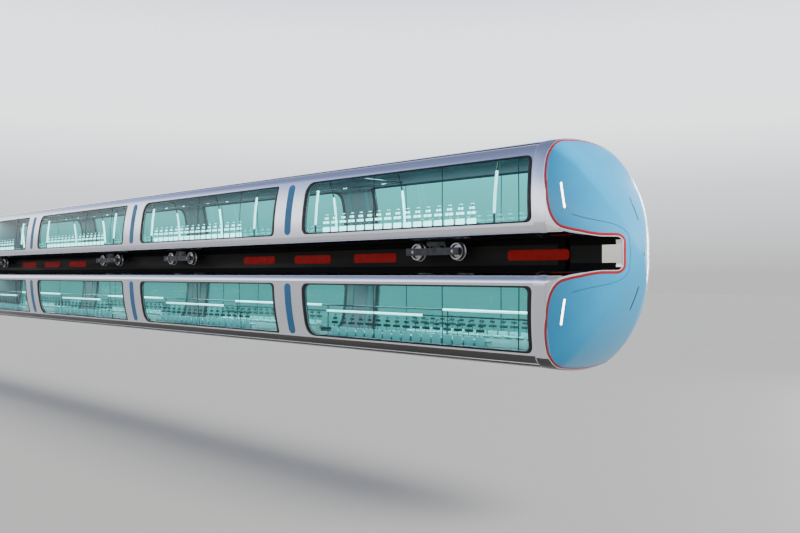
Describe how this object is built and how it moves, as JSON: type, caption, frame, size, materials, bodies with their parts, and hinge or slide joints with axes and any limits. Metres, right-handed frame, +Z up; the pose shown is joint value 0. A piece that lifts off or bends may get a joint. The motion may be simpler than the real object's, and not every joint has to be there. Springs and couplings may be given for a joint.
{
  "type": "double-deck straddle train, 1:2 scale model",
  "caption": "Double-deck train with an upper and a lower cabin mirrored about a narrow spine, side slots for a guideway with rail wheels, and round blue noses.",
  "frame": {"origin": "middle of the train: half length, mid width and mid height, in the guideway's plane", "axes": "+X forward along the train, +Y to its left, +Z up"},
  "size_m": [27.1994, 1.84, 3.4708],
  "materials": {
    "silver": "polished panels",
    "nose_blue": "gloss",
    "glass": "tinted teal",
    "spine_dark": "satin black",
    "cover_red": "satin red covers on a dark band",
    "lamp": "white light bar",
    "bogie": "satin black",
    "wheel_steel": "turned",
    "seat": "satin",
    "seat_dark": "satin",
    "handrail": "white"
  },
  "bodies": {
    "body": {"roof_panel": "silver", "upper_floor": "silver", "lower_ceiling": "silver", "belly_panel": "silver", "upper_side_left": "silver", "upper_side_right": "silver", "lower_side_left": "silver", "lower_side_right": "silver", "upper_glass_left": "glass", "upper_glass_right": "glass", "lower_glass_left": "glass", "lower_glass_right": "glass", "spine": "spine_dark", "cover_band_left": "cover_red", "cover_band_right": "cover_red", "front_end_frame": "silver", "rear_end_frame": "silver", "front_nose": "nose_blue", "rear_nose": "nose_blue", "front_upper_left_lamp": "lamp", "front_upper_right_lamp": "lamp", "front_lower_left_lamp": "lamp", "front_lower_right_lamp": "lamp", "rear_upper_left_lamp": "lamp", "rear_upper_right_lamp": "lamp", "rear_lower_left_lamp": "lamp", "rear_lower_right_lamp": "lamp", "bogie_frame_1": "bogie", "bogie_frame_2": "bogie", "bogie_frame_3": "bogie", "bogie_frame_4": "bogie", "upper_bench_left": "seat", "upper_bench_right": "seat", "lower_bench_left": "seat_dark", "lower_bench_right": "seat_dark", "upper_handrails": "handrail", "lower_handrails": "handrail"},
    "wheelset_1": {"wheelset_1": "wheel_steel"},
    "wheelset_2": {"wheelset_2": "wheel_steel"},
    "wheelset_3": {"wheelset_3": "wheel_steel"},
    "wheelset_4": {"wheelset_4": "wheel_steel"},
    "wheelset_5": {"wheelset_5": "wheel_steel"},
    "wheelset_6": {"wheelset_6": "wheel_steel"},
    "wheelset_7": {"wheelset_7": "wheel_steel"},
    "wheelset_8": {"wheelset_8": "wheel_steel"}
  },
  "joints": [
    {"name": "wheelset_1_spin", "type": "hinge", "parent": "body", "child": "wheelset_1", "pos_m": [10.625, 0, 0.08], "axis": [0, 1, 0], "continuous": true},
    {"name": "wheelset_2_spin", "type": "hinge", "parent": "body", "child": "wheelset_2", "pos_m": [9.725, 0, 0.08], "axis": [0, 1, 0], "continuous": true},
    {"name": "wheelset_3_spin", "type": "hinge", "parent": "body", "child": "wheelset_3", "pos_m": [2.3, 0, 0.08], "axis": [0, 1, 0], "continuous": true},
    {"name": "wheelset_4_spin", "type": "hinge", "parent": "body", "child": "wheelset_4", "pos_m": [1.4, 0, 0.08], "axis": [0, 1, 0], "continuous": true},
    {"name": "wheelset_5_spin", "type": "hinge", "parent": "body", "child": "wheelset_5", "pos_m": [-1.4, 0, 0.08], "axis": [0, 1, 0], "continuous": true},
    {"name": "wheelset_6_spin", "type": "hinge", "parent": "body", "child": "wheelset_6", "pos_m": [-2.3, 0, 0.08], "axis": [0, 1, 0], "continuous": true},
    {"name": "wheelset_7_spin", "type": "hinge", "parent": "body", "child": "wheelset_7", "pos_m": [-9.725, 0, 0.08], "axis": [0, 1, 0], "continuous": true},
    {"name": "wheelset_8_spin", "type": "hinge", "parent": "body", "child": "wheelset_8", "pos_m": [-10.625, 0, 0.08], "axis": [0, 1, 0], "continuous": true}
  ]
}
